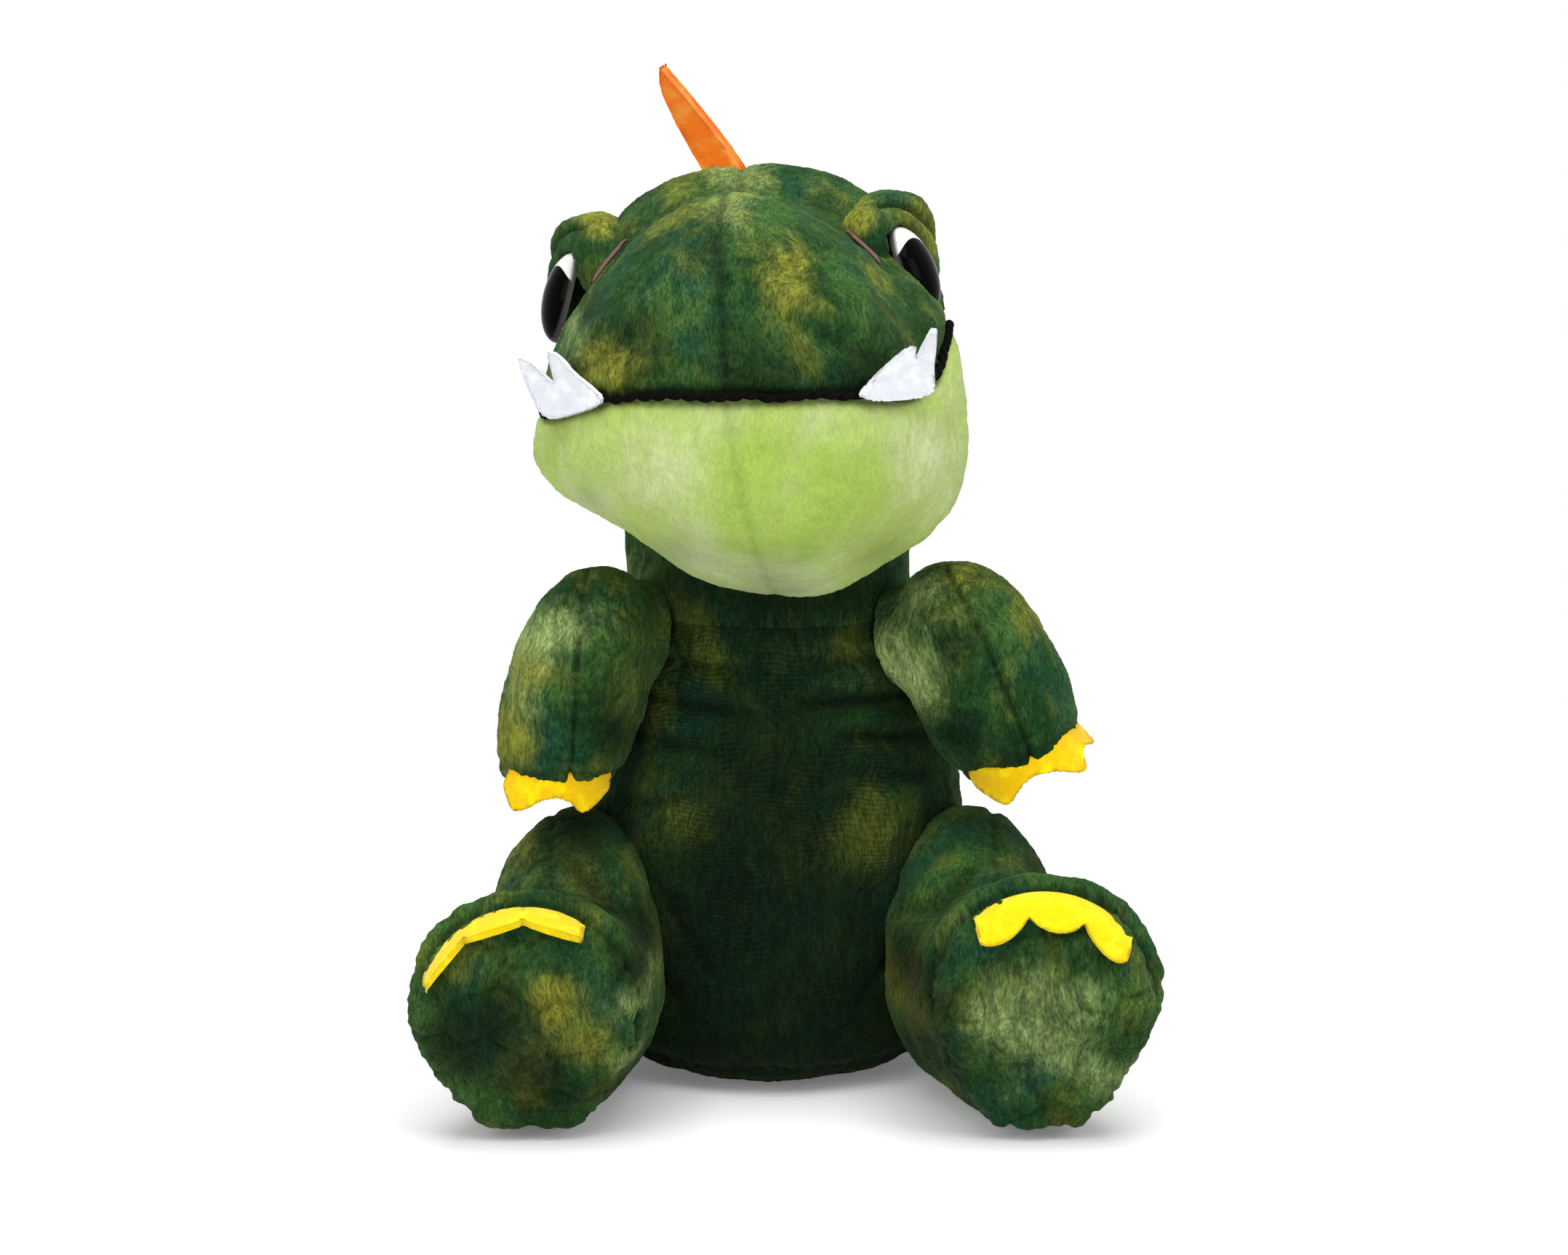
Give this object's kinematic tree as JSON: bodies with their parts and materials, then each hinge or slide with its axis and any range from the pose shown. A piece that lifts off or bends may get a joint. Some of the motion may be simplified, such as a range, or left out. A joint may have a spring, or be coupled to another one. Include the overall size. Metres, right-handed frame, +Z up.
{
  "type": "stuffed dinosaur",
  "caption": "Seated stuffed dinosaur with a big round snout, light jaw, felt teeth, claws and spikes, and domed oval eyes; head, arms, legs and tail swivel on sewn seams.",
  "frame": {"origin": "on the surface the toy sits on, under the middle of its bounding box", "axes": "+Z up through the head, the face looks along -Y, +X is the dinosaur's own left"},
  "size_m": [0.2464, 0.266, 0.3463],
  "materials": {
    "green_plush": "short pile, tie-dyed greens",
    "lime_plush": "short pile",
    "polyester_filling": "loose fibre",
    "orange_felt": "felt",
    "yellow_felt": "felt",
    "white_felt": "felt",
    "black_yarn": "chunky yarn",
    "brown_thread": "thread",
    "eye_plastic": "glossy",
    "washer_plastic": "matt"
  },
  "bodies": {
    "trunk": {"body_stuffing": "polyester_filling", "base_panel": "green_plush", "body_front": "green_plush", "body_back_left": "green_plush", "body_back_right": "green_plush", "back_spike_1": "orange_felt", "back_spike_2": "orange_felt"},
    "neck": {"neck_stuffing": "polyester_filling", "neck_skin": "green_plush"},
    "head": {"head_stuffing": "polyester_filling", "jaw_skin": "lime_plush", "mouth_yarn": "black_yarn", "head_spike_1": "orange_felt", "head_spike_2": "orange_felt", "head_skin_left": "green_plush", "head_skin_right": "green_plush", "brow_left": "green_plush", "brow_right": "green_plush", "eye_left": "eye_plastic", "eye_right": "eye_plastic", "eye_washer_left": "washer_plastic", "eye_washer_right": "washer_plastic", "teeth_left": "white_felt", "teeth_right": "white_felt", "snout_stitches_left": "brown_thread", "snout_stitches_right": "brown_thread"},
    "arm_left": {"arm_skin_left": "green_plush", "arm_stuffing_left": "polyester_filling", "hand_claws_left": "yellow_felt"},
    "arm_right": {"arm_skin_right": "green_plush", "arm_stuffing_right": "polyester_filling", "hand_claws_right": "yellow_felt"},
    "leg_left": {"leg_skin_left": "green_plush", "leg_stuffing_left": "polyester_filling", "sole_left": "green_plush", "foot_claws_left": "yellow_felt"},
    "leg_right": {"leg_skin_right": "green_plush", "leg_stuffing_right": "polyester_filling", "sole_right": "green_plush", "foot_claws_right": "yellow_felt"},
    "tail": {"tail_skin": "green_plush", "tail_stuffing": "polyester_filling", "tail_spike_1": "orange_felt", "tail_spike_2": "orange_felt"}
  },
  "joints": [
    {"name": "neck_turn", "type": "hinge", "parent": "trunk", "child": "neck", "pos_m": [-0.001, -0.001, 0.1635], "axis": [0, 0, 1], "range_deg": [-6, 20], "stiffness_Nm_per_rad": 0.6},
    {"name": "head_nod", "type": "hinge", "parent": "neck", "child": "head", "pos_m": [-0.001, -0.001, 0.192], "axis": [0.9924, -0.0872, 0.0868], "range_deg": [-12, 3], "stiffness_Nm_per_rad": 1},
    {"name": "arm_swing_left", "type": "hinge", "parent": "trunk", "child": "arm_left", "pos_m": [0.04325, -0.02703, 0.1565], "axis": [-0.8295, 0.5183, -0.2079], "range_deg": [-15, 50], "stiffness_Nm_per_rad": 0.05},
    {"name": "arm_swing_right", "type": "hinge", "parent": "trunk", "child": "arm_right", "pos_m": [-0.04325, -0.02703, 0.1565], "axis": [-0.8295, -0.5183, 0.2079], "range_deg": [-15, 50], "stiffness_Nm_per_rad": 0.05},
    {"name": "leg_lift_left", "type": "hinge", "parent": "trunk", "child": "leg_left", "pos_m": [0.06015, -0.02404, 0.046], "axis": [-0.7986, 0.6018, 0], "range_deg": [0, 35], "stiffness_Nm_per_rad": 0.25},
    {"name": "leg_lift_right", "type": "hinge", "parent": "trunk", "child": "leg_right", "pos_m": [-0.06015, -0.02404, 0.046], "axis": [-0.7986, -0.6018, 0], "range_deg": [0, 35], "stiffness_Nm_per_rad": 0.25},
    {"name": "tail_wag", "type": "hinge", "parent": "trunk", "child": "tail", "pos_m": [0, 0.06, 0.042], "axis": [0, 0, 1], "range_deg": [-20, 20], "stiffness_Nm_per_rad": 0.12}
  ]
}
